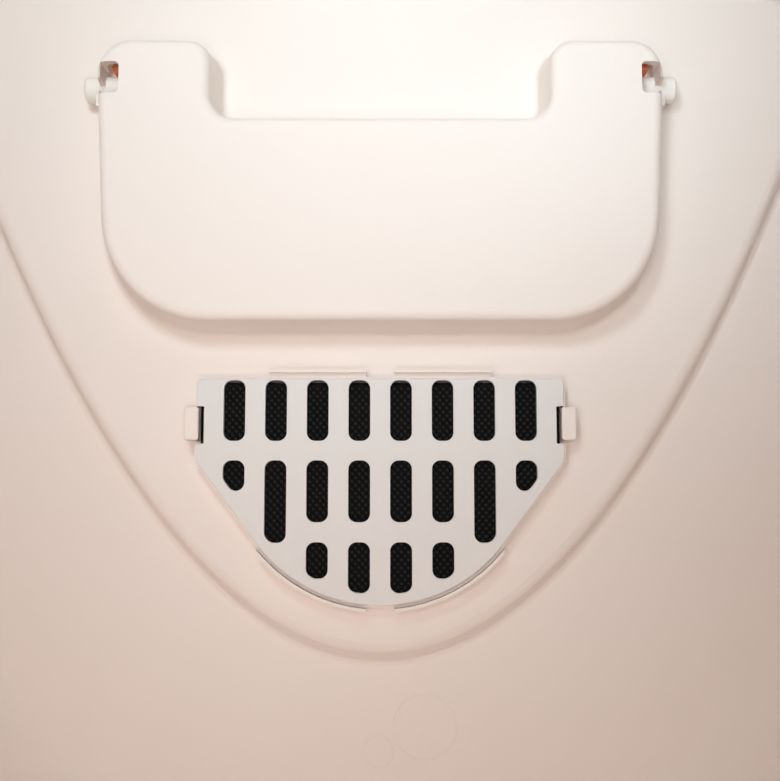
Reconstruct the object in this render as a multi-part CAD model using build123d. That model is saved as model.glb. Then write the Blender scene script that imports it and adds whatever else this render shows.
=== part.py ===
from build123d import *
from math import atan, atan2, cos, degrees, radians, sin, sqrt, tan
import os

os.makedirs("parts", exist_ok=True)

# Box outline seen from above: the flat front faces -Y, the right-angled rear corner points to +Y
box_depth = 452.0
rear_corner_radius = 150.0
side_corner_y = -20.0
side_corner_radius = 70.0
front_corner_x = 175.0
front_corner_radius = 70.0

# Wall thickness of the mouldings, and the rounding of their rims
wall = 2.5
rim_edge_radius = 1.0
level_tolerance = 0.001

# Tray
rim_height = 140.0
rim_width = 10.4
rim_thickness = 3.0
rim_skirt = 16.0
tray_lip = 8.0
tray_lean = 9.0
tray_foot_radius = 16.0
tray_floor = 3.0

# Hood shell
roof_height = 414.5
hood_flange = 7.0
hood_flange_thickness = 2.7
hood_seat_gap = 0.3
hood_lean = 2.1
roof_edge_radius = 30.0

# Pick-shaped roof panel, sunk from outside: a parabola with its tip to the rear
panel_depth = 8.0
panel_tip_y = 98.5
panel_spread = 122.0
panel_front_y = -146.0
panel_corner = 55.0
panel_slope_run = 5.5
panel_edge_radius = 4.0
panel_foot_radius = 2.5
panel_rim_radius = 2.0

# Handle pocket, sunk further: a wide trough that flares towards an ear at each end of its front
pocket_depth = 20.0
pocket_half_width = 91.0
ear_half_width = 95.9
pocket_rear_y = -16.8
pocket_rear_radius = 36.0
pocket_notch_y = -84.9
pocket_notch_radius = 9.0
ear_front_y = -112.0
ear_inner_x = 58.2
ear_outer_radius = 11.0
ear_inner_radius = 7.0
pocket_draft = 8.0
pocket_edge_radius = 3.0
pocket_base_radius = 2.5

# Handle, its pins and the windows that open the ears round them
pivot_y = -99.1
pivot_below_panel = 7.0
pin_radius = 4.5
pin_clearance = 0.06
pin_reach = 102.2
pin_inner_x = 76.0
pin_chamfer = 0.8
handle_thickness = 13.0
handle_side_clearance = 1.2
handle_end_clearance = 2.1
arm_width = 26.0
grip_width = 26.0
handle_edge_radius = 2.5
grip_corner_radius = 12.0
hub_radius = 9.2
hub_reach = 91.7
hub_width = 8.0
hub_edge_radius = 0.6
window_front_y = -104.3
window_inner_x = 88.0
window_rear_y = -93.4
window_outer_x = 94.4
window_corner_radius = 1.6
hook_length = 3.2
hook_nose = 1.0
hook_thickness = 1.7
hook_chamfer = 0.6
hook_reach = 1.3
hook_drop = 7.0

# Filter seat under the roof panel
grille_front_y = 2.0
grille_half_width = 61.8
grille_shoulder_y = 29.8
grille_arc_x = 40.2
grille_arc_y = 58.4
grille_rear_y = 77.5
grille_corner_radius = 2.0
grille_thickness = 2.0
grille_drop = 9.0
grille_edge_radius = 0.4
notch_depth = 2.6
notch_front_y = 11.3
notch_length = 12.6
slot_pitch = 14.0
slot_width = 7.3
slot_corner_radius = 2.9
slot_corner_share = 0.4
slot_border = 3.6
slot_rows = [(2.5, 23.0), (29.5, 50.1), (56.7, 73.6)]
slot_row_ends = {(1, 2): 56.9, (1, 3): 40.7, (2, 1): 68.7}
slot_counts = [4, 4, 2]
vent_width = 4.5
frame_margin = 0.8
frame_wall = 1.2
pad_gap = 0.3
pad_side_gap = 0.7
rib_gap = 1.3
rib_wall = 1.1
rib_start_x = 4.8
front_rib_end_x = 37.6
rear_rib_end_x = 41.2
rib_drop = 9.0
front_step_drop = 6.5
rear_step_drop = 5.5
clip_length = 11.0
clip_wall = 3.5
clip_nose = 0.9
clip_nose_height = 1.6
clip_margin = 0.4
clip_corner_radius = 0.8
clip_chamfer = 0.4

# Door opening, its collar and the flap
door_width = 210.0
door_bottom = 160.0
door_top = 345.0
door_top_radius = 12.0
door_bottom_radius = 45.0
collar_wall = 3.0
collar_set_back = 3.5
collar_depth = 21.0
flap_gap = 1.6
flap_thickness = 2.0
flap_rim = 7.0
flap_rim_thickness = 4.0
flap_axis_drop = 16.0
flap_pin_radius = 3.0
flap_pin_length = 4.0
flap_boss_radius = 6.5
flap_boss_length = 3.0

# Latches on the slanted front side walls
latch_width = 52.0
latch_plate = 3.0
latch_edge_radius = 1.0
latch_axis_out = 5.5
latch_axis_drop = 14.0
latch_pin_radius = 2.0
latch_barrel_radius = 4.2
latch_over_flange = 0.4
latch_hook_in = 4.0
latch_tab_rise = 9.0
latch_tab_out = 6.0
latch_side_gap = 0.6
lug_width = 4.0
lug_radius = 4.5
lug_root = 1.2

# Heights and reaches worked out from the sizes above
half_depth = box_depth / 2
rear_point_y = half_depth + rear_corner_radius * (sqrt(2) - 1)
rear_reach = rear_point_y / sqrt(2)
side_corner_x = rear_point_y - side_corner_y
side_run = (front_corner_x - side_corner_x, -half_depth - side_corner_y)
side_angle = atan2(side_run[0], -side_run[1])
collar_front_y = collar_set_back - half_depth
side_reach = side_corner_x * cos(side_angle) + side_corner_y * sin(side_angle)
hood_bottom = rim_height + hood_seat_gap
hood_flange_top = hood_bottom + hood_flange_thickness
roof_inside = roof_height - wall
panel_inside = roof_inside - panel_depth
panel_outside = panel_inside + wall
pocket_inside = panel_inside - pocket_depth
pivot_z = panel_inside - pivot_below_panel
grille_face = panel_inside - grille_drop
grille_back = grille_face + grille_thickness


def meet(first, second):
    """Point where two walls cross, each given as its outward angle and its distance from the origin."""
    (a, p), (b, q) = first, second
    turn = sin(b - a)
    return (p * sin(b) - q * sin(a)) / turn, (q * cos(a) - p * cos(b)) / turn


def outline(inset):
    """Face of the box outline, drawn in from the rim by a distance."""
    rear = (radians(45), rear_reach - inset)
    side = (side_angle, side_reach - inset)
    front = (radians(-90), half_depth - inset)
    rear_point = (0, sqrt(2) * (rear_reach - inset))
    right = [meet(side, front), meet(rear, side)]
    left = [(-x, y) for x, y in reversed(right)]
    radii = [front_corner_radius, side_corner_radius, rear_corner_radius]
    radii = [r - inset for r in (*reversed(radii[:2]), *radii)]
    return make_face(FilletPolyline(*left, *right, rear_point, radius=radii, close=True))


def slab(face, low, high, taper=0.0):
    """Solid from a flat face, standing between two heights."""
    return extrude(Plane.XY.offset(low) * face, amount=high - low, taper=taper)


def mirrored(solid):
    """The same solid on the other side of the middle plane."""
    return mirror(solid, about=Plane.YZ)


def panel_outline(inset):
    """Roof panel: a parabola from corner to corner through the tip, closed by a front edge."""
    tip = panel_tip_y - inset
    front = panel_front_y + inset
    bend = front + panel_corner
    half = sqrt(panel_spread * (panel_tip_y - panel_front_y - panel_corner)) - inset
    lean = half / (2 * (tip - bend))
    corner = half + lean * panel_corner
    curve = Bezier((half, bend), (0, 2 * tip - bend), (-half, bend))
    left = Bezier((-half, bend), (-corner, front), (panel_corner - corner, front))
    edge = Line((panel_corner - corner, front), (corner - panel_corner, front))
    right = Bezier((corner - panel_corner, front), (corner, front), (half, bend))
    return make_face([curve, left, edge, right])


def panel_solid(low, low_inset, high, high_inset):
    """Solid with the panel's outline and sloping sides."""
    bottom = Plane.XY.offset(low) * panel_outline(low_inset)
    top = Plane.XY.offset(high) * panel_outline(high_inset)
    return loft([bottom, top], ruled=True)


def pocket_outline(inset):
    """Handle pocket: a wide trough with two ears towards the front."""
    inner = ear_inner_x + inset
    front = ear_front_y + inset
    notch = pocket_notch_y + inset
    rear = pocket_rear_y - inset
    ear_corner = (ear_half_width - inset, front)
    rear_corner = (pocket_half_width - inset, rear)
    right = [(inner, notch), (inner, front), ear_corner, rear_corner]
    radii = [
        pocket_notch_radius + inset,
        ear_inner_radius - inset,
        ear_outer_radius - inset,
        pocket_rear_radius - inset,
    ]
    left = [(-x, y) for x, y in reversed(right)]
    return make_face(FilletPolyline(*right, *left, radius=radii + radii[::-1], close=True))


def grille_outline(margin, front_margin=None):
    """Filter grille: square shoulders, slanted sides and a round rear end."""
    half = grille_half_width + margin
    front = grille_front_y - (margin if front_margin is None else front_margin)
    rear = grille_rear_y + margin
    slant = Vector(grille_arc_x - grille_half_width, grille_arc_y - grille_shoulder_y).normalized()
    out = Vector(slant.Y, -slant.X)
    shoulder_y = grille_shoulder_y + margin * (1 - out.Y) / out.X * slant.Y
    arc_end = Vector(grille_arc_x, grille_arc_y) + out * margin
    right = [(half, front), (half, shoulder_y), (arc_end.X, arc_end.Y)]
    left = [(-x, y) for x, y in reversed(right)]
    sides = Polyline(*left, *right)
    arc = ThreePointArc(right[-1], (0, rear), left[0])
    return make_face([sides, arc])


def rounded_outline(margin):
    """The grille's outline with its two front corners rounded."""
    face = grille_outline(margin)
    return fillet(face.vertices().group_by(Axis.Y)[0], grille_corner_radius + margin)


def slot_faces(width, shrink):
    """Slots in rows, cut off near the slanted and round borders, with all their corners rounded."""
    radius = min(slot_corner_radius, slot_corner_share * width)
    cover = grille_outline(-slot_border - shrink, 0)
    faces = []
    for row, (start, end) in enumerate(slot_rows):
        for column in range(slot_counts[row]):
            last = slot_row_ends.get((row, column), end)
            length = last - start - 2 * shrink
            for side in (-1, 1):
                place = (side * slot_pitch * (column + 0.5), (start + last) / 2)
                core = offset((Pos(*place) * Rectangle(width, length)) & cover, -radius)
                faces.append(offset(core, radius))
    return Sketch() + faces


def edges_at(part, level, half_width, front, rear):
    """Edges of a part that lie flat at a height, within a box seen from above."""
    found = []
    for edge in part.edges():
        box = edge.bounding_box()
        flat = max(abs(box.min.Z - level), abs(box.max.Z - level)) < level_tolerance
        if flat and max(-box.min.X, box.max.X) < half_width and box.min.Y > front and box.max.Y < rear:
            found.append(edge)
    return found


def ring(face_outside, face_inside, low, high):
    """Upright ring between two outlines."""
    return slab(face_outside - face_inside, low, high)


def rim_ring(inner_inset, low, high):
    """Ring of the box's rim with a rounded upper edge."""
    plate = slab(outline(0), low, high)
    plate = fillet(plate.edges().group_by(Axis.Z)[-1], rim_edge_radius)
    return plate - slab(outline(inner_inset), low, high)


def latch_place():
    """Frame at the middle of the right slanted wall: X outwards, Y along the wall, Z up."""
    rear = (radians(45), rear_reach)
    side = (side_angle, side_reach)
    front = (radians(-90), half_depth)
    start = Vector(*meet(rear, side))
    end = Vector(*meet(side, front))
    side_turn = (radians(45) - side_angle) / 2
    front_turn = (side_angle + radians(90)) / 2
    along = (end - start).normalized()
    start += along * side_corner_radius * tan(side_turn)
    end -= along * front_corner_radius * tan(front_turn)
    middle = (start + end) / 2
    return Location((middle.X, middle.Y, rim_height - latch_axis_drop), (0, 0, degrees(side_angle)))


def base_tray():
    tray = extrude(
        Plane.XY.offset(rim_height + tray_lip) * outline(rim_width),
        amount=-(rim_height + tray_lip),
        taper=tray_lean,
    )
    tray = fillet(tray.edges().group_by(Axis.Z)[0], tray_foot_radius)
    inside = extrude(
        Plane.XY.offset(rim_height + tray_lip) * outline(rim_width + wall),
        amount=-(rim_height + tray_lip - tray_floor),
        taper=tray_lean,
    )
    inside = fillet(inside.edges().group_by(Axis.Z)[0], tray_foot_radius - wall)
    rim = ring(outline(wall / 2), outline(rim_width + wall), rim_height - rim_thickness, rim_height)
    skirt = rim_ring(wall, rim_height - rim_skirt, rim_height)
    tray = tray + rim + skirt - inside
    place = latch_place()
    lug_y = latch_width / 2 + latch_side_gap + lug_width / 2
    for side in (-1, 1):
        eye = Pos(latch_axis_out, side * lug_y, 0) * Rot(90, 0, 0) * Cylinder(lug_radius, lug_width)
        web = Pos((latch_axis_out - lug_root) / 2, side * lug_y, 0) * Box(
            latch_axis_out + lug_root, lug_width, 2 * lug_radius
        )
        hole = Pos(latch_axis_out, side * lug_y, 0) * Rot(90, 0, 0) * Cylinder(
            latch_pin_radius, 2 * lug_width
        )
        lug = place * (eye + web - hole)
        tray = tray + lug + mirrored(lug)
    return tray


def door_outline(margin):
    """Door opening in the plane of the front wall."""
    width = door_width + 2 * margin
    height = door_top - door_bottom + 2 * margin
    face = Rectangle(width, height)
    low = face.vertices().group_by(Axis.Y)[0]
    face = fillet(low, door_bottom_radius + margin)
    high = face.vertices().group_by(Axis.Y)[-1]
    face = fillet(high, door_top_radius + margin)
    middle = (door_top + door_bottom) / 2
    return Plane((0, collar_front_y, middle), x_dir=(1, 0, 0), z_dir=(0, -1, 0)) * face


def door_solid(margin):
    """Block through the door opening, as deep as its collar."""
    return extrude(door_outline(margin), amount=-collar_depth)


def sunk_roof(skin):
    """Roof panel and handle pocket as one block; with a skin it is the hollow above them."""
    slope = atan(panel_slope_run / panel_depth)
    panel_inset = skin * tan((radians(90) - slope) / 2)
    pocket_inset = skin * tan(radians(90 - pocket_draft) / 2)
    top = roof_inside + wall / 2 + skin
    rise = top - panel_inside - skin
    panel = panel_solid(
        panel_inside + skin,
        panel_inset + panel_slope_run,
        top,
        panel_inset + panel_slope_run * (1 - rise / panel_depth),
    )
    panel = fillet(panel.edges().group_by(Axis.Z)[0], panel_edge_radius)
    pocket_top = panel_inside + skin + (panel_depth if skin else wall / 2)
    pocket = slab(pocket_outline(pocket_inset), pocket_inside + skin, pocket_top, -pocket_draft)
    pocket = fillet(pocket.edges().group_by(Axis.Z)[0], pocket_edge_radius)
    block = panel + pocket
    around = pocket_depth * tan(radians(pocket_draft)) + wall
    base = edges_at(
        block,
        panel_inside + skin,
        ear_half_width + around,
        ear_front_y - around,
        pocket_rear_y + around,
    )
    return fillet(base, pocket_base_radius)


def panel_edges(part, level):
    """Edges of the roof panel's outline at a height of the roof."""
    reach = panel_outline(-wall).bounding_box()
    return edges_at(part, level, reach.max.X, reach.min.Y, reach.max.Y)


def ear_window():
    """Cut at the right ear: a window in its floor and a bore for the pin with a throat below it."""
    corner = (Align.MIN, Align.MIN, Align.MIN)
    bore_radius = pin_radius + pin_clearance
    outer = ear_half_width + pocket_depth * tan(radians(pocket_draft)) + wall
    low = pocket_inside - wall
    size = (window_outer_x - window_inner_x, window_rear_y - window_front_y, pivot_z - low)
    window = Pos(window_inner_x, window_front_y, low) * Box(*size, align=corner)
    inner_edges = window.edges().filter_by(Axis.Z).group_by(Axis.X)[0]
    window = fillet(inner_edges, window_corner_radius)
    throat_x = window_outer_x - wall
    throat = Pos(throat_x, pivot_y, low) * Box(outer - throat_x, bore_radius, pivot_z - low, align=corner)
    bore = Pos((window_inner_x + outer) / 2, pivot_y, pivot_z) * Rot(0, 90, 0) * Cylinder(
        bore_radius, outer - window_inner_x
    )
    return window + throat + bore


def ear_hook():
    """Small hook behind and under the right pin."""
    foot = ear_half_width - wall / 2
    rear = pivot_y + pin_radius + pin_clearance
    low = pivot_z - pin_radius - pin_clearance - hook_thickness
    length = hook_reach + wall / 2
    post = Box(length, hook_length, hook_drop, align=(Align.MIN, Align.MIN, Align.MIN))
    nose = Box(length, hook_nose, hook_thickness, align=(Align.MIN, Align.MAX, Align.MIN))
    nose = chamfer(nose.edges().filter_by(Axis.X).sort_by(Axis.Y)[0:1], hook_chamfer)
    return Pos(foot, rear, low) * (post + nose)


def filter_clip():
    """Snap clip at the right notch: a post with a short nose, rounded at its free end."""
    low = grille_face - clip_nose_height
    top = panel_inside + wall / 2
    stem_x = grille_half_width + clip_margin
    tip_x = stem_x - clip_nose - clip_margin
    clip_y = notch_front_y + clip_margin + clip_length / 2
    stem = Pos(stem_x + clip_wall / 2, clip_y, (low + top) / 2) * Box(clip_wall, clip_length, top - low)
    nose_size = (stem_x + clip_wall / 2 - tip_x, clip_length, 2 * clip_nose_height)
    nose = Pos(tip_x + nose_size[0] / 2, clip_y, grille_face) * Box(*nose_size)
    clip = stem + nose
    columns = clip.edges().filter_by(Axis.Z).group_by(Axis.X)
    clip = fillet(columns[0] + columns[-1], clip_corner_radius)
    return chamfer(clip.edges().group_by(Axis.Z)[0], clip_chamfer)


def filter_seat():
    """Frame round the filter, locating ribs and snap clips, hanging from the roof panel."""
    top = panel_inside + wall / 2
    frame = ring(
        rounded_outline(frame_margin), grille_outline(frame_margin - frame_wall), grille_back, top
    )
    rib_low = panel_inside - rib_drop
    rib_middle_z = (rib_low + top) / 2
    front_rib_x = (rib_start_x + front_rib_end_x) / 2
    front_rib_y = grille_front_y - frame_margin - rib_gap - rib_wall / 2
    front_rib_length = front_rib_end_x - rib_start_x
    front_rib = Pos(front_rib_x, front_rib_y, rib_middle_z) * Box(front_rib_length, rib_wall, top - rib_low)
    step_y = front_rib_y + (rib_gap + rib_wall) / 2
    front_step_low = panel_inside - front_step_drop
    front_step = Pos(front_rib_x, step_y, (front_step_low + top) / 2) * Box(
        front_rib_length, rib_gap + rib_wall, top - front_step_low
    )
    rear_ring = ring(
        grille_outline(rib_gap + rib_wall), grille_outline(rib_gap), rib_low, top
    )
    rear_place = Pos((rib_start_x + rear_rib_end_x) / 2, grille_rear_y, rib_middle_z)
    rear_block = rear_place * Box(
        rear_rib_end_x - rib_start_x, 2 * (grille_rear_y - grille_arc_y), top - rib_low
    )
    rear_step_ring = ring(
        grille_outline(rib_gap + rib_wall / 2),
        grille_outline(frame_margin - frame_wall),
        panel_inside - rear_step_drop,
        top,
    )
    rear_rib = (rear_ring + rear_step_ring) & rear_block
    notch_y = notch_front_y + notch_length / 2
    notch = Pos(grille_half_width, notch_y, (grille_back + top) / 2) * Box(
        2 * notch_depth, notch_length, top - grille_back
    )
    openings = notch + rear_block
    right = front_rib + front_step + rear_rib + filter_clip()
    return frame - openings - mirrored(openings) + right + mirrored(right)


def hood():
    shell = slab(outline(hood_flange), hood_bottom, roof_height, hood_lean)
    shell = fillet(shell.edges().group_by(Axis.Z)[-1], roof_edge_radius)
    inside = slab(outline(hood_flange + wall), hood_bottom, roof_inside, hood_lean)
    inside = fillet(inside.edges().group_by(Axis.Z)[-1], roof_edge_radius - wall)
    flange = rim_ring(hood_flange + wall / 2, hood_bottom, hood_flange_top)

    # Collar round the door, with a socket on each side for the flap's pins
    collar = door_solid(collar_wall)
    collar = fillet(collar.edges().group_by(Axis.Y)[0], rim_edge_radius)
    axis = (0, collar_front_y + collar_depth / 2, door_top - flap_axis_drop)
    socket_width = door_width + 2 * (collar_wall + flap_boss_length)
    sockets = Pos(*axis) * Rot(0, 90, 0) * Cylinder(flap_boss_radius, socket_width)
    bore_width = door_width + 2 * (flap_pin_length + pin_clearance)
    bore = Pos(*axis) * Rot(0, 90, 0) * Cylinder(flap_pin_radius + pin_clearance, bore_width)
    shell = shell + flange - inside + collar + sockets - door_solid(0) - bore

    shell = shell + sunk_roof(0)
    shell = fillet(panel_edges(shell, roof_inside), panel_foot_radius)
    shell = shell - sunk_roof(wall)
    shell = fillet(panel_edges(shell, roof_height), panel_rim_radius) + filter_seat()
    vents = slab(slot_faces(vent_width, (slot_width - vent_width) / 2), grille_back, panel_outside)
    window = ear_window()
    shell = shell - vents - window - mirrored(window)
    hook = ear_hook()
    return shell + hook + mirrored(hook)


def handle_pin():
    pin = Cylinder(pin_radius, pin_reach - pin_inner_x, align=(Align.CENTER, Align.CENTER, Align.MAX))
    pin = chamfer(pin.edges().group_by(Axis.Z)[-1], pin_chamfer)
    return Pos(pin_reach, pivot_y, pivot_z) * Rot(0, 90, 0) * pin


def handle():
    """Carrying handle: a flat loop with a round hub on each pin, open underneath to snap over it."""
    half = pocket_half_width - wall - handle_side_clearance
    rear = pocket_rear_y - wall - handle_end_clearance
    low = pivot_z - handle_thickness / 2
    plate = Pos(0, (pivot_y + rear) / 2) * Rectangle(2 * half, rear - pivot_y)
    rear_radius = pocket_rear_radius - wall - handle_side_clearance
    plate = fillet(plate.vertices().group_by(Axis.Y)[-1], rear_radius)
    gap_front = pivot_y - handle_thickness
    gap_rear = rear - grip_width
    gap = Pos(0, (gap_front + gap_rear) / 2) * Rectangle(2 * (half - arm_width), gap_rear - gap_front)
    gap = fillet(gap.vertices().group_by(Axis.Y)[-1], grip_corner_radius)
    body = slab(plate - gap, low, low + handle_thickness)
    levels = body.edges().group_by(Axis.Z)
    behind_pivot = [e for e in levels[0] + levels[-1] if e.center().Y > pivot_y + level_tolerance]
    body = fillet(behind_pivot, handle_edge_radius)
    eye = Pos(half - arm_width / 2, pivot_y, pivot_z) * Rot(0, 90, 0) * Cylinder(
        handle_thickness / 2, arm_width
    )
    eye = fillet(eye.edges().filter_by(GeomType.CIRCLE), handle_edge_radius)
    hub = Pos(hub_reach - hub_width / 2, pivot_y, pivot_z) * Rot(0, 90, 0) * Cylinder(
        hub_radius, hub_width
    )
    hub = fillet(hub.edges().filter_by(GeomType.CIRCLE), hub_edge_radius)
    body = body + eye + hub + mirrored(eye + hub)
    hole_start = pin_inner_x - pin_clearance
    hole_length = hub_reach - hole_start + wall
    hole = Pos(hole_start + hole_length / 2, pivot_y, pivot_z) * Rot(0, 90, 0) * Cylinder(
        pin_radius + pin_clearance, hole_length
    )
    throat = Pos(hub_reach, pivot_y, pivot_z - hub_radius) * Box(
        2 * hub_width, 2 * (pin_radius + pin_clearance), 2 * hub_radius
    )
    opening = hole + throat
    return body - opening - mirrored(opening)


def filter_grille():
    plate = slab(rounded_outline(0), grille_face, grille_back)
    plate = fillet(plate.edges().group_by(Axis.Z)[0], grille_edge_radius)
    plate = plate - slab(slot_faces(slot_width, 0), grille_face - wall, grille_back + wall)
    notch = Pos(grille_half_width, notch_front_y + notch_length / 2, grille_face) * Box(
        2 * notch_depth, notch_length, 2 * wall + 2 * grille_thickness
    )
    return plate - notch - mirrored(notch)


def filter_pad():
    pad = grille_outline(frame_margin - frame_wall - pad_side_gap)
    return slab(pad, grille_back + pad_gap, panel_inside - pad_gap)


def door_flap():
    in_collar = Pos(0, collar_depth / 2, 0)
    sheet = in_collar * door_outline(-flap_gap)
    border = sheet - in_collar * door_outline(-flap_gap - flap_rim)
    panel = extrude(sheet, amount=flap_thickness / 2, both=True)
    rim = extrude(border, amount=flap_rim_thickness / 2, both=True)
    start = door_width / 2 - flap_gap - flap_rim / 2
    end = door_width / 2 + flap_pin_length
    place = Pos((start + end) / 2, collar_front_y + collar_depth / 2, door_top - flap_axis_drop)
    pin = place * Rot(0, 90, 0) * Cylinder(flap_pin_radius, end - start)
    return panel + rim + pin + mirrored(pin)


def latch_profile():
    """Closed latch in its own plane, X outwards from the pin and Y up: a plate, a hook and a thumb tab."""
    hook_low = hood_flange_top - rim_height + latch_axis_drop + latch_over_flange
    hook_high = hook_low + latch_plate
    tip = -latch_axis_out - latch_hook_in
    top = hook_high + latch_tab_rise
    out = latch_plate / 2
    points = [
        (-out, 0),
        (out, 0),
        (out, hook_high),
        (out + latch_tab_out, top),
        (out + latch_tab_out - latch_plate, top + out),
        (-out, hook_high + out),
        (tip, hook_high),
        (tip, hook_low),
        (-out, hook_low),
    ]
    return make_face(Polyline(*points, close=True))


def latch():
    """Right latch as it rests, open and hanging from its pin."""
    plate = extrude(Plane.XZ * latch_profile(), amount=latch_width / 2, both=True)
    plate = fillet(plate.edges().filter_by(Axis.Y).group_by(Axis.Z)[-1], latch_edge_radius)
    barrel = Rot(90, 0, 0) * Cylinder(latch_barrel_radius, latch_width)
    bore = Rot(90, 0, 0) * Cylinder(latch_pin_radius + pin_clearance, 2 * latch_width)
    return latch_place() * Pos(latch_axis_out, 0, 0) * Rot(0, 180, 0) * (plate + barrel - bore)


def latch_pin():
    length = latch_width + 2 * (latch_side_gap + lug_width)
    return latch_place() * Pos(latch_axis_out, 0, 0) * Rot(90, 0, 0) * Cylinder(latch_pin_radius, length)


parts = {
    "base_tray": base_tray(),
    "hood": hood(),
    "handle": handle(),
    "handle_pin_right": handle_pin(),
    "handle_pin_left": mirrored(handle_pin()),
    "filter_grille": filter_grille(),
    "filter_pad": filter_pad(),
    "door_flap": door_flap(),
    "latch_right": latch(),
    "latch_left": mirrored(latch()),
    "latch_pin_right": latch_pin(),
    "latch_pin_left": mirrored(latch_pin()),
}

for name, part in parts.items():
    export_step(part, f"parts/{name}.step")
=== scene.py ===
import math

import bpy
import numpy as np
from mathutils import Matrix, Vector


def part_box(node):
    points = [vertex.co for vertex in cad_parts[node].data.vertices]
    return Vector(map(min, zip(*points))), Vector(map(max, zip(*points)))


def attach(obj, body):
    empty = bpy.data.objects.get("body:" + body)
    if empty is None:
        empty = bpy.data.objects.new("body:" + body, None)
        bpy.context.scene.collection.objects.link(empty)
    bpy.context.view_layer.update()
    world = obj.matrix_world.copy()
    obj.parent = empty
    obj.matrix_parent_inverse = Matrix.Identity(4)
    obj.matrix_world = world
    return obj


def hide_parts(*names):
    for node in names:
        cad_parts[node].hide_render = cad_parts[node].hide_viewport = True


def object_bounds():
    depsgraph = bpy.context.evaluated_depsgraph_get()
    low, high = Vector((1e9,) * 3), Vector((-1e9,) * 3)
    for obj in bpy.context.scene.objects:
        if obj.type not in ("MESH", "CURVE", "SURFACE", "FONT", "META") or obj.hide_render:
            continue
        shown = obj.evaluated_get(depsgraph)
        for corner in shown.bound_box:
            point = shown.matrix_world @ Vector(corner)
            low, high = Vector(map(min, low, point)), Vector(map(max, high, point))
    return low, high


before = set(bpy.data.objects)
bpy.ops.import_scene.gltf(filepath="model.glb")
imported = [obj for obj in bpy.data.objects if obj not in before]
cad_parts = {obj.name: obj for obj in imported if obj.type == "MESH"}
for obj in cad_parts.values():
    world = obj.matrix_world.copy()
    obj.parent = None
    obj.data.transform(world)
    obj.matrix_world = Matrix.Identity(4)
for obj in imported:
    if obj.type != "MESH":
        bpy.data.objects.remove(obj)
cad_box = [list(corner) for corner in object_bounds()]

# Camera of the photograph: above the tray's floor, looking up at the roof, the door side at the image's top
photo_width_px = 780
focal_px = 1080
sensor_width_mm = 36
camera_place = (0.0033, 0.0416, 0.0331)
camera_tilt = math.radians(5.613)
camera_near = 0.001

# Colours of light: the studio's, and what reaches the roof's front and its rear from below
warm_white = (1.0, 0.98, 0.955)
cool_white = (0.965, 0.985, 1.0)
front_tint = (0.78, 0.93, 1.0)
rear_tint = (1.0, 0.89, 0.85)

# Lamps inside the box, below and beside the camera, then studio lamps outside:
# name, place, target, size, spread of the beam in degrees, watts, colour
inside_lamps = [
    ("inside_front", (-0.06, -0.15, 0.03), (-0.03, -0.155, 0.4), 0.085, 80, 0.171, front_tint),
    ("inside_middle", (0, -0.05, 0.03), (0, -0.05, 0.4), 0.15, 45, 0.008, front_tint),
    ("inside_corner", (0.08, -0.15, 0.03), (0.08, -0.152, 0.4), 0.085, 50, 0.0182, front_tint),
    ("inside_right", (0.08, -0.09, 0.03), (0.08, -0.09, 0.4), 0.12, 40, 0.0175, front_tint),
    ("inside_fill", (-0.03, 0.06, 0.012), (-0.03, 0.06, 0.4), 0.2, 120, 0.333, rear_tint),
]
box_middle = (0, 0, 0.2)
studio_lamps = [
    ("studio_key", (-1.1, -1.5, 1.7), box_middle, 1.4, 180, 18, warm_white),
    ("studio_fill", (1.6, -0.6, 1.0), box_middle, 1.4, 180, 8, cool_white),
    ("studio_back", (0.3, 1.8, 1.5), box_middle, 1.4, 180, 10, warm_white),
]
world_light = 0.55

# Ground under the box: side length, gap below the box, and where its tone fades to white
floor_size = 30.0
floor_gap = 0.0004
floor_fade = (0.5, 1.5)

# Filter cloth: black felt with a diamond lattice of dots pressed into both faces. A dot's press fades out
# at dot_foot times its radius. The cloth's sway is the product of two waves, each given along x and along y
dot_pitch_x = 0.00237
dot_pitch_y = 0.00261
dot_radius = 0.00046
dot_depth = 0.00022
dot_foot = 1.5
cloth_sway = 0.00010
cloth_waves = [(140, 90), (-60, 110)]
cells_per_pitch = 6
pad_edge_radius = 0.0009
same_column = 0.000009
# Colour of the pressed dots: paler than the felt, a painted sheen for their smoother faces
pressed_dot_painted_sheen = (0.027, 0.028, 0.029)

# Round marks of the mould's ejectors on the roof's inside: middle and radius
roof_level = 0.412
ejector_marks = [((0.0153, 0.120), 0.0109), ((-0.0008, 0.1283), 0.0053)]
mark_width = 0.0005
mark_rise = 0.00008
mark_steps = (96, 8)


def make_camera():
    """The photograph's camera."""
    data = bpy.data.cameras.new("camera")
    data.sensor_fit = "HORIZONTAL"
    data.sensor_width = sensor_width_mm
    data.lens = sensor_width_mm * focal_px / photo_width_px
    data.clip_start = camera_near
    camera = bpy.data.objects.new("camera", data)
    camera.location = camera_place
    camera.rotation_euler = (math.pi + camera_tilt, 0, 0)
    bpy.context.scene.collection.objects.link(camera)
    bpy.context.scene.camera = camera


def make_lamp(name, place, target, size, spread, watts, colour):
    """Round area lamp that the camera doesn't see."""
    data = bpy.data.lights.new(name, "AREA")
    data.shape = "DISK"
    data.size = size
    data.spread = math.radians(spread)
    data.energy = watts
    data.color = colour
    lamp = bpy.data.objects.new(name, data)
    lamp.location = place
    aim = Vector(target) - Vector(place)
    lamp.rotation_euler = aim.to_track_quat("-Z", "Y").to_euler()
    lamp.visible_camera = False
    bpy.context.scene.collection.objects.link(lamp)
    return lamp


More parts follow.
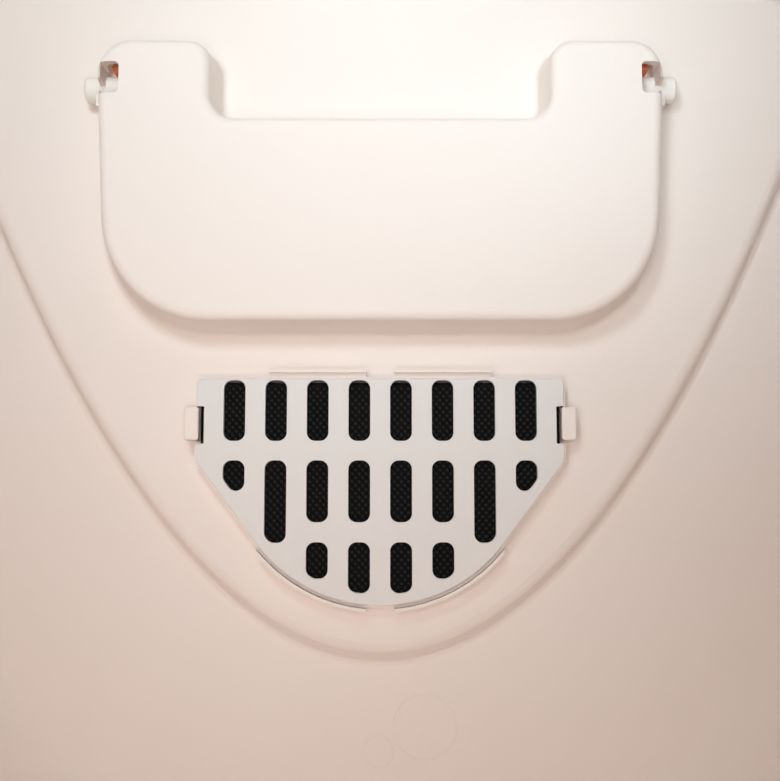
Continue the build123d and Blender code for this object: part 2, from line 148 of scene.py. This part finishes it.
def make_world():
    """Pale light from all round, and plain white where the camera, gloss or glass sees the background."""
    world = bpy.data.worlds.new("studio")
    bpy.context.scene.world = world
    world.use_nodes = True
    tree = world.node_tree
    tree.nodes.clear()
    paths = tree.nodes.new("ShaderNodeLightPath")
    seen = tree.nodes.new("ShaderNodeMath")
    seen.operation = "MAXIMUM"
    tree.links.new(paths.outputs["Is Camera Ray"], seen.inputs[0])
    tree.links.new(paths.outputs["Is Glossy Ray"], seen.inputs[1])
    through = tree.nodes.new("ShaderNodeMath")
    through.operation = "MAXIMUM"
    tree.links.new(seen.outputs[0], through.inputs[0])
    tree.links.new(paths.outputs["Is Transmission Ray"], through.inputs[1])
    light = tree.nodes.new("ShaderNodeBackground")
    light.inputs["Color"].default_value = (1, 1, 1, 1)
    light.inputs["Strength"].default_value = world_light
    white = tree.nodes.new("ShaderNodeBackground")
    white.inputs["Color"].default_value = (1, 1, 1, 1)
    mix = tree.nodes.new("ShaderNodeMixShader")
    out = tree.nodes.new("ShaderNodeOutputWorld")
    tree.links.new(through.outputs[0], mix.inputs[0])
    tree.links.new(light.outputs[0], mix.inputs[1])
    tree.links.new(white.outputs[0], mix.inputs[2])
    tree.links.new(mix.outputs[0], out.inputs[0])


class Nodes:
    """A material and short calls to build its node tree."""

    def __init__(self, name):
        self.material = bpy.data.materials.new(name)
        self.material.use_nodes = True
        self.tree = self.material.node_tree
        self.shader = self.tree.nodes["Principled BSDF"]
        place = self.add("ShaderNodeTexCoord")
        self.place = place.outputs["Object"]

    def add(self, kind, **settings):
        node = self.tree.nodes.new(kind)
        for key, value in settings.items():
            setattr(node, key, value)
        return node

    def link(self, output, socket):
        self.tree.links.new(output, socket)

    def noise(self, scale, detail=2.0, rough=0.5):
        """Cloudy value round one half, in the piece's own coordinates."""
        node = self.add("ShaderNodeTexNoise")
        self.link(self.place, node.inputs["Vector"])
        node.inputs["Scale"].default_value = scale
        node.inputs["Detail"].default_value = detail
        node.inputs["Roughness"].default_value = rough
        return node.outputs["Fac"]

    def spread(self, value, low, high, start=0.3, end=0.7):
        """A value stretched from start..end to low..high, and held there outside."""
        node = self.add("ShaderNodeMapRange")
        self.link(value, node.inputs["Value"])
        for key, number in zip(("From Min", "From Max", "To Min", "To Max"), (start, end, low, high)):
            node.inputs[key].default_value = number
        return node.outputs["Result"]

    def math(self, operation, first, second):
        """One sum, product or comparison of two values, each a number or an output."""
        node = self.add("ShaderNodeMath", operation=operation)
        for socket, value in zip(node.inputs, (first, second)):
            if isinstance(value, (int, float)):
                socket.default_value = value
            else:
                self.link(value, socket)
        return node.outputs[0]

    def mix(self, factor, first, second):
        """Colour between two colours, each a tuple or an output."""
        node = self.add("ShaderNodeMix", data_type="RGBA")
        self.link(factor, node.inputs["Factor"])
        for socket, colour in zip((node.inputs[6], node.inputs[7]), (first, second)):
            if isinstance(colour, tuple):
                socket.default_value = (*colour, 1)
            else:
                self.link(colour, socket)
        return node.outputs[2]

    def colour(self, output):
        self.link(output, self.shader.inputs["Base Color"])

    def roughness(self, output):
        self.link(output, self.shader.inputs["Roughness"])

    def bump(self, height, distance, strength=1.0):
        """One more layer of relief on top of the last one."""
        node = self.add("ShaderNodeBump")
        node.inputs["Strength"].default_value = strength
        node.inputs["Distance"].default_value = distance
        self.link(height, node.inputs["Height"])
        normal = self.shader.inputs["Normal"]
        if normal.is_linked:
            self.link(normal.links[0].from_socket, node.inputs["Normal"])
        self.link(node.outputs["Normal"], normal)

    def specks(self, scale, radius, share):
        """Sparse round dots, each worth 1, on a share of the cells of a grid of random points."""
        cell = self.add("ShaderNodeTexVoronoi")
        cell.inputs["Scale"].default_value = scale
        self.link(self.place, cell.inputs["Vector"])
        near = self.math("LESS_THAN", cell.outputs["Distance"], radius * scale)
        chosen = self.add("ShaderNodeSeparateColor")
        self.link(cell.outputs["Color"], chosen.inputs[0])
        rare = self.math("LESS_THAN", chosen.outputs[0], share)
        return self.math("MULTIPLY", near, rare)


def moulded(name, base, shade, rough, grain=420, relief=0.00004):
    """Satin moulded plastic: slight flow clouds in its colour, a fine skin and a few specks of dust."""
    nodes = Nodes(name)
    clouds = nodes.spread(nodes.noise(9, 3), 0, 1)
    colour = nodes.mix(clouds, shade, base)
    dust = nodes.specks(55, 0.0006, 0.035)
    darker = tuple(0.55 * part for part in shade)
    colour = nodes.mix(dust, colour, darker)
    nodes.colour(colour)
    streaks = nodes.noise(60, 4, 0.6)
    nodes.roughness(nodes.spread(streaks, rough - 0.06, rough + 0.08))
    nodes.bump(nodes.noise(grain, 3, 0.6), relief, 0.35)
    nodes.bump(nodes.noise(22, 2), 0.0002, 0.05)
    nodes.shader.inputs["Specular IOR Level"].default_value = 0.45
    return nodes.material


def smoky_sheet():
    """See-through smoke-tinted plastic with faint wipe marks."""
    nodes = Nodes("clear_plastic")
    haze = nodes.spread(nodes.noise(14, 4), 0, 1)
    nodes.colour(nodes.mix(haze, (0.50, 0.46, 0.42), (0.60, 0.56, 0.52)))
    nodes.roughness(nodes.spread(nodes.noise(45, 5, 0.65), 0.10, 0.26))
    nodes.bump(nodes.noise(30, 2), 0.0008, 0.08)
    nodes.shader.inputs["Alpha"].default_value = 0.45
    nodes.shader.inputs["Specular IOR Level"].default_value = 0.5
    return nodes.material


def filter_cloth():
    """Black felt: fibres in all directions, and paler dots where the mesh is pressed in, a painted sheen
    standing in for their smoother faces.
    """
    nodes = Nodes("filter_cloth")
    fibres = nodes.noise(1500, 4, 0.7)
    black = nodes.mix(nodes.spread(fibres, 0, 1), (0.003, 0.003, 0.0028), (0.0075, 0.0075, 0.007))
    pressed = nodes.add("ShaderNodeAttribute", attribute_name="pressed")
    # The pressed dots take the paler colour: painted sheen, not a change of roughness
    nodes.colour(nodes.mix(pressed.outputs["Fac"], black, pressed_dot_painted_sheen))
    nodes.roughness(nodes.spread(nodes.noise(700, 3), 0.62, 0.85))
    nodes.bump(fibres, 0.00025, 0.6)
    nodes.shader.inputs["Specular IOR Level"].default_value = 0.1
    nodes.shader.inputs["Sheen Weight"].default_value = 0.02
    nodes.shader.inputs["Sheen Roughness"].default_value = 0.5
    return nodes.material


def pale_floor():
    """Pale ground that the camera, gloss and glass see fade to plain white away from the box."""
    nodes = Nodes("floor")
    clouds = nodes.spread(nodes.noise(3, 2), 0, 1)
    nodes.colour(nodes.mix(clouds, (0.80, 0.80, 0.79), (0.83, 0.83, 0.82)))
    nodes.shader.inputs["Roughness"].default_value = 0.8
    reach = nodes.add("ShaderNodeVectorMath", operation="LENGTH")
    nodes.link(nodes.place, reach.inputs[0])
    away = nodes.spread(reach.outputs["Value"], 0, 1, *floor_fade)
    paths = nodes.add("ShaderNodeLightPath")
    seen = nodes.math("MAXIMUM", paths.outputs["Is Camera Ray"], paths.outputs["Is Glossy Ray"])
    seen = nodes.math("MAXIMUM", seen, paths.outputs["Is Transmission Ray"])
    white = nodes.add("ShaderNodeEmission")
    blend = nodes.add("ShaderNodeMixShader")
    nodes.link(nodes.math("MULTIPLY", away, seen), blend.inputs[0])
    nodes.link(nodes.shader.outputs[0], blend.inputs[1])
    nodes.link(white.outputs[0], blend.inputs[2])
    nodes.link(blend.outputs[0], nodes.tree.nodes["Material Output"].inputs["Surface"])
    return nodes.material


def give(node, material):
    """A CAD node's surface finish."""
    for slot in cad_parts[node].material_slots:
        slot.material = material


def new_piece(name, points, faces, material, body):
    """A smooth mesh piece with its material, that moves with a body."""
    mesh = bpy.data.meshes.new(name)
    mesh.from_pydata(points, [], faces)
    mesh.materials.append(material)
    mesh.polygons.foreach_set("use_smooth", [True] * len(mesh.polygons))
    mesh.update()
    piece = bpy.data.objects.new(name, mesh)
    bpy.context.scene.collection.objects.link(piece)
    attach(piece, body)
    return piece


def make_floor():
    """Ground sheet just under the box."""
    far = floor_size / 2
    low = cad_box[0][2] - floor_gap
    corners = [(-far, -far, low), (far, -far, low), (far, far, low), (-far, far, low)]
    mesh = bpy.data.meshes.new("floor")
    mesh.from_pydata(corners, [], [(0, 1, 2, 3)])
    mesh.materials.append(pale_floor())
    floor = bpy.data.objects.new("floor", mesh)
    bpy.context.scene.collection.objects.link(floor)


def ejector_ring(index, middle, radius, material):
    """Thin raised ring on the roof's inside, half sunk in it."""
    around, across = mark_steps
    points = []
    for i in range(around):
        turn = 2 * math.pi * i / around
        for j in range(across):
            side = 2 * math.pi * j / across
            reach = radius + mark_width / 2 * math.cos(side)
            points.append(
                (
                    middle[0] + reach * math.cos(turn),
                    middle[1] + reach * math.sin(turn),
                    roof_level + mark_rise * math.sin(side),
                )
            )
    faces = []
    for i in range(around):
        for j in range(across):
            a, b = i * across + j, i * across + (j + 1) % across
            c, d = (b + across) % len(points), (a + across) % len(points)
            faces.append((a, b, c, d))
    new_piece(f"ejector_mark_{index}", points, faces, material, "hood")


def pad_outline():
    """The CAD pad's rear edge, as x and y from left to right, and the pad's box."""
    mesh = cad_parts["filter_pad"].data
    low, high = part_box("filter_pad")
    corners = np.array([v.co for v in mesh.vertices if v.co.z < (low.z + high.z) / 2])
    rear = corners[corners[:, 1] > low.y + pad_edge_radius]
    xs = np.unique(rear[:, 0].round(6))
    ys = np.array([rear[np.abs(rear[:, 0] - x) < same_column][:, 1].max() for x in xs])
    return xs, ys, low, high


def pressed_share(x, y):
    """1 in the middle of each pressed dot, falling to 0 at its border."""
    u, v = x / dot_pitch_x, y / dot_pitch_y
    near = np.full(x.shape, np.inf)
    for shift in (0, 0.5):
        du = (u + shift - np.round(u + shift)) * dot_pitch_x
        dv = (v + shift - np.round(v + shift)) * dot_pitch_y
        near = np.minimum(near, np.hypot(du, dv))
    t = np.clip(dot_foot - near / dot_radius, 0, 1)
    return t * t * (3 - 2 * t)


def make_pad(material):
    """Felt pad as a closed skin: two pressed faces with rounded borders, joined round the edge."""
    xs, ys, low, high = pad_outline()
    columns = int((high.x - low.x) / dot_pitch_x * cells_per_pitch)
    rows = int((high.y - low.y) / dot_pitch_y * cells_per_pitch)
    x = np.linspace(low.x, high.x, columns + 1)[:, None] * np.ones(rows + 1)
    rear = np.interp(x[:, 0], xs, ys)[:, None]
    y = low.y + (rear - low.y) * np.linspace(0, 1, rows + 1)
    slope = np.gradient(rear[:, 0], x[:, 0])[:, None]
    border = np.minimum(y - low.y, (rear - y) / np.sqrt(1 + slope * slope))
    border = np.minimum(border, np.minimum(x - low.x, high.x - x))
    reach = np.clip(1 - border / pad_edge_radius, 0, 1)
    sink = pad_edge_radius * (1 - np.sqrt(1 - reach * reach))
    pressed = pressed_share(x, y) * (reach == 0)
    first, second = (np.sin(along_x * x + along_y * y) for along_x, along_y in cloth_waves)
    sway = cloth_sway * (1 + first * second) / 2
    depth = sink + pressed * dot_depth + sway * (1 - reach)
    faces_low = np.stack([x, y, low.z + depth], axis=-1).reshape(-1, 3)
    faces_high = np.stack([x, y, high.z - depth], axis=-1).reshape(-1, 3)
    count = len(faces_low)
    grid = np.arange(count).reshape(columns + 1, rows + 1)
    a, b = grid[:-1, :-1].ravel(), grid[1:, :-1].ravel()
    c, d = grid[1:, 1:].ravel(), grid[:-1, 1:].ravel()
    below = np.stack([a, d, c, b], axis=1)
    above = np.stack([a, b, c, d], axis=1) + count
    loop = np.concatenate([grid[:, 0], grid[-1, 1:], grid[-2::-1, -1], grid[0, -2:0:-1]])
    following = np.roll(loop, -1)
    side = np.stack([loop, following, following + count, loop + count], axis=1)
    points = np.concatenate([faces_low, faces_high]).tolist()
    faces = np.concatenate([below, above, side]).tolist()
    pad = new_piece("felt_pad", points, faces, material, "filter")
    share = pad.data.attributes.new("pressed", "FLOAT", "POINT")
    share.data.foreach_set("value", np.tile(pressed.ravel(), 2).astype(np.float32))
    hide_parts("filter_pad")


bpy.context.scene.view_settings.view_transform = "Standard"
make_camera()
for lamp in inside_lamps:
    make_lamp(*lamp).visible_glossy = False
for lamp in studio_lamps:
    make_lamp(*lamp)
make_world()
make_floor()

cream = moulded("cream_plastic", (0.908, 0.83, 0.775), (0.898, 0.815, 0.755), 0.45)
dark = moulded("dark_plastic", (0.125, 0.11, 0.10), (0.115, 0.10, 0.09), 0.45)
orange = moulded("orange_plastic", (0.87, 0.27, 0.085), (0.84, 0.245, 0.07), 0.34)
pins = moulded("pin_plastic", (0.90, 0.86, 0.80), (0.88, 0.835, 0.775), 0.36)
grey = moulded("grey_plastic", (0.80, 0.785, 0.76), (0.785, 0.77, 0.745), 0.46, 600, 0.00005)
give("hood", cream)
give("base_tray", dark)
for name in ("handle", "latch_left", "latch_right"):
    give(name, orange)
for name in ("handle_pin_left", "handle_pin_right", "latch_pin_left", "latch_pin_right"):
    give(name, pins)
give("filter_grille", grey)
give("door_flap", smoky_sheet())
make_pad(filter_cloth())
for index, (middle, radius) in enumerate(ejector_marks):
    ejector_ring(index, middle, radius, cream)
